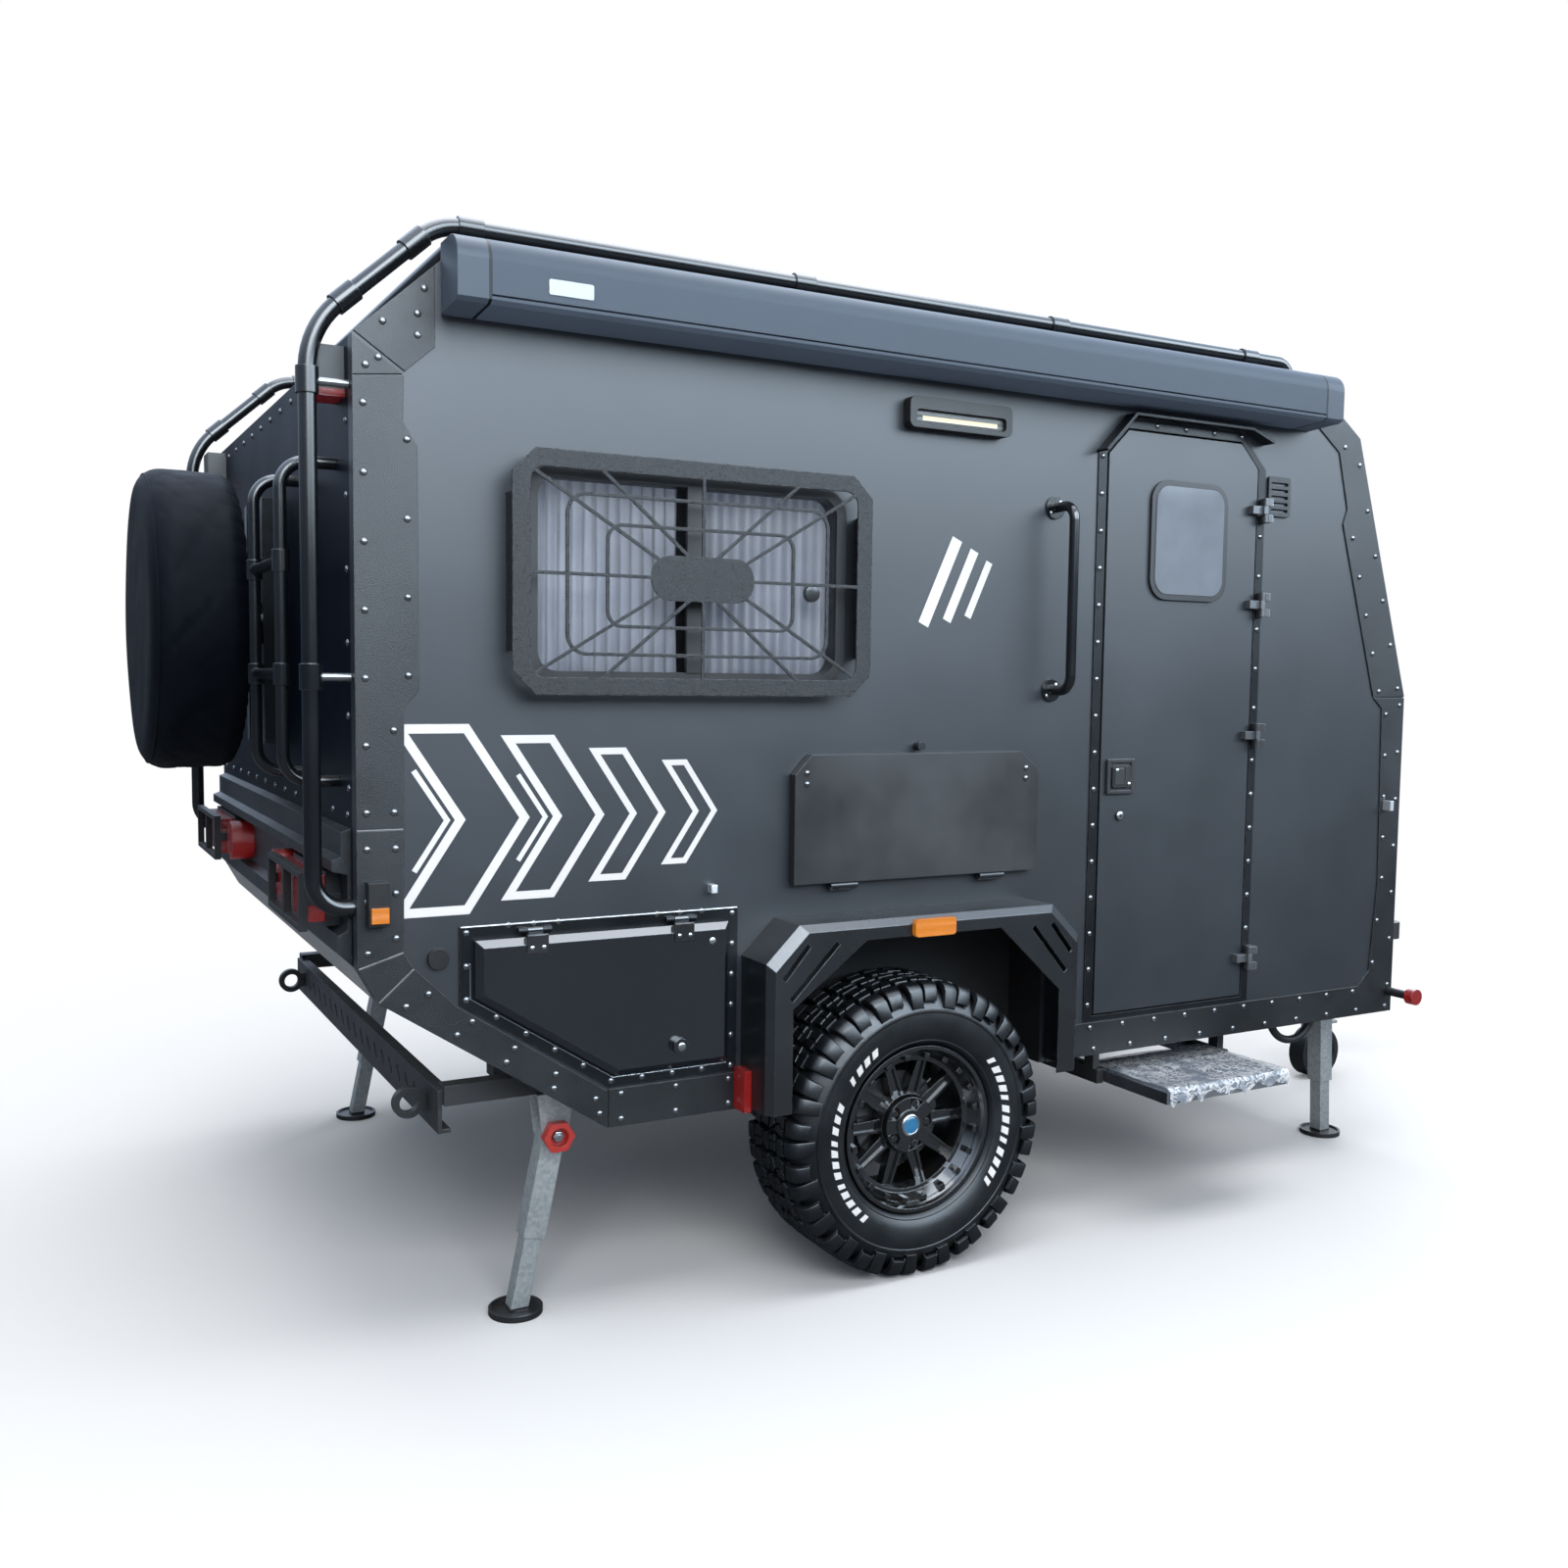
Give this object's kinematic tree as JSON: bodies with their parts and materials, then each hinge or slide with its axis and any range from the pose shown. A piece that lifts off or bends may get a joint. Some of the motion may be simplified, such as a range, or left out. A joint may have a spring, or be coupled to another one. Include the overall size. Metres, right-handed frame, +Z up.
{
  "type": "off-road trailer",
  "caption": "Compact off-road caravan trailer with riveted corner plates, guarded windows, entry door, awning case, roof rack, rear ladder and covered spare wheel, parked on drop-down legs.",
  "frame": {"origin": "on the ground below the middle of the axle", "axes": "+X forward to the coupling, +Y to the left, +Z up"},
  "size_m": [5.048, 2.401, 2.5659],
  "materials": {
    "body_paint": "satin anthracite paint",
    "armour": "textured black powder coat",
    "black_metal": "satin black powder coat",
    "chassis": "black chassis paint",
    "tyre": "black rubber",
    "rim": "satin black alloy",
    "galvanised": "galvanised steel",
    "glass": "tinted acrylic",
    "plastic": "black plastic",
    "red_lens": "red lens",
    "amber_lens": "amber lens",
    "lamp_lens": "warm white lens",
    "awning_metal": "anodised anthracite",
    "cover_fabric": "black coated fabric",
    "curtain_fabric": "pale grey pleated fabric",
    "hose_rubber": "black rubber",
    "red_plastic": "red plastic"
  },
  "bodies": {
    "trailer": {"side_wall_right": "body_paint", "side_wall_left": "body_paint", "roof_panel": "body_paint", "front_panel": "body_paint", "rear_panel": "body_paint", "floor_panel": "chassis", "corner_armour": "armour", "wheel_flares": "armour", "wheel_wells": "plastic", "chassis_rails": "chassis", "chassis_cross_members": "chassis", "rear_beam": "chassis", "tow_eyes": "chassis", "axle_beam": "chassis", "hub_arms": "chassis", "window_frames": "plastic", "window_panes": "glass", "curtains": "curtain_fabric", "window_guards": "armour", "opening_frames": "armour", "hinge_mounts": "black_metal", "rack_tubes": "black_metal", "rack_cross_bars": "black_metal", "awning_case": "awning_metal", "awning_end_caps": "plastic", "grab_handle": "black_metal", "awning_light": "plastic", "awning_light_lens": "lamp_lens", "rear_ladder": "black_metal", "spare_wheel_cover": "cover_fabric", "spare_carrier": "black_metal", "rear_bumper": "armour", "red_lamps": "red_lens", "amber_lamps": "amber_lens", "lamp_housings": "plastic", "drawbar_arms": "chassis", "coupling_head": "chassis", "jockey_tube": "galvanised", "leg_brackets": "galvanised", "leg_caps": "red_plastic", "step_slides": "chassis", "drain_hose": "hose_rubber", "small_fittings": "black_metal"},
    "wheel_right": {"wheel_right_tyre": "tyre", "wheel_right_rim": "rim"},
    "wheel_left": {"wheel_left_tyre": "tyre", "wheel_left_rim": "rim"},
    "door": {"entry_door": "body_paint", "entry_door_glass": "glass", "entry_door_fittings": "plastic"},
    "table": {"fold_table": "body_paint"},
    "lid_right": {"locker_lid_right": "body_paint"},
    "lid_left": {"locker_lid_left": "body_paint"},
    "stand_rear_right": {"leg_rear_right": "galvanised"},
    "stand_rear_left": {"leg_rear_left": "galvanised"},
    "stand_front_right": {"leg_front_right": "galvanised"},
    "stand_front_left": {"leg_front_left": "galvanised"},
    "step": {"entry_step": "chassis"},
    "jockey": {"jockey_fork": "galvanised"},
    "jockey_roller": {"jockey_wheel": "tyre"}
  },
  "joints": [
    {"name": "wheel_right_spin", "type": "hinge", "parent": "trailer", "child": "wheel_right", "pos_m": [0, -1.035, 0.388], "axis": [0, 1, 0], "continuous": true},
    {"name": "wheel_left_spin", "type": "hinge", "parent": "trailer", "child": "wheel_left", "pos_m": [0, 1.035, 0.388], "axis": [0, 1, 0], "continuous": true},
    {"name": "door_hinge", "type": "hinge", "parent": "trailer", "child": "door", "pos_m": [1.297, -1.036, 1.4], "axis": [0, 0, 1], "range_deg": [0, 170]},
    {"name": "table_hinge", "type": "hinge", "parent": "trailer", "child": "table", "pos_m": [0.064, -1.032, 1.024], "axis": [1, 0, 0], "range_deg": [0, 90]},
    {"name": "lid_right_hinge", "type": "hinge", "parent": "trailer", "child": "lid_right", "pos_m": [-0.82, -1.0225, 0.967], "axis": [-1, 0, 0], "range_deg": [0, 110]},
    {"name": "lid_left_hinge", "type": "hinge", "parent": "trailer", "child": "lid_left", "pos_m": [-0.82, 1.0225, 0.967], "axis": [1, 0, 0], "range_deg": [0, 110]},
    {"name": "stand_rear_right_fold", "type": "hinge", "parent": "trailer", "child": "stand_rear_right", "pos_m": [-0.91, -0.88, 0.44], "axis": [0, -1, 0], "range_deg": [0, 100]},
    {"name": "stand_rear_left_fold", "type": "hinge", "parent": "trailer", "child": "stand_rear_left", "pos_m": [-0.91, 0.88, 0.44], "axis": [0, -1, 0], "range_deg": [0, 100]},
    {"name": "stand_front_right_fold", "type": "hinge", "parent": "trailer", "child": "stand_front_right", "pos_m": [1.9, -0.8, 0.49], "axis": [0, 1, 0], "range_deg": [0, 92]},
    {"name": "stand_front_left_fold", "type": "hinge", "parent": "trailer", "child": "stand_front_left", "pos_m": [1.9, 0.8, 0.49], "axis": [0, 1, 0], "range_deg": [0, 92]},
    {"name": "step_slide", "type": "slide", "parent": "trailer", "child": "step", "axis": [0, 1, 0], "range_m": [0, 0.3]},
    {"name": "jockey_swivel", "type": "hinge", "parent": "trailer", "child": "jockey", "pos_m": [2.53265, -0.27925, 0.3], "axis": [0, 0, 1], "continuous": true},
    {"name": "jockey_spin", "type": "hinge", "parent": "jockey", "child": "jockey_roller", "pos_m": [2.49265, -0.27925, 0.1], "axis": [0, 1, 0], "continuous": true}
  ]
}
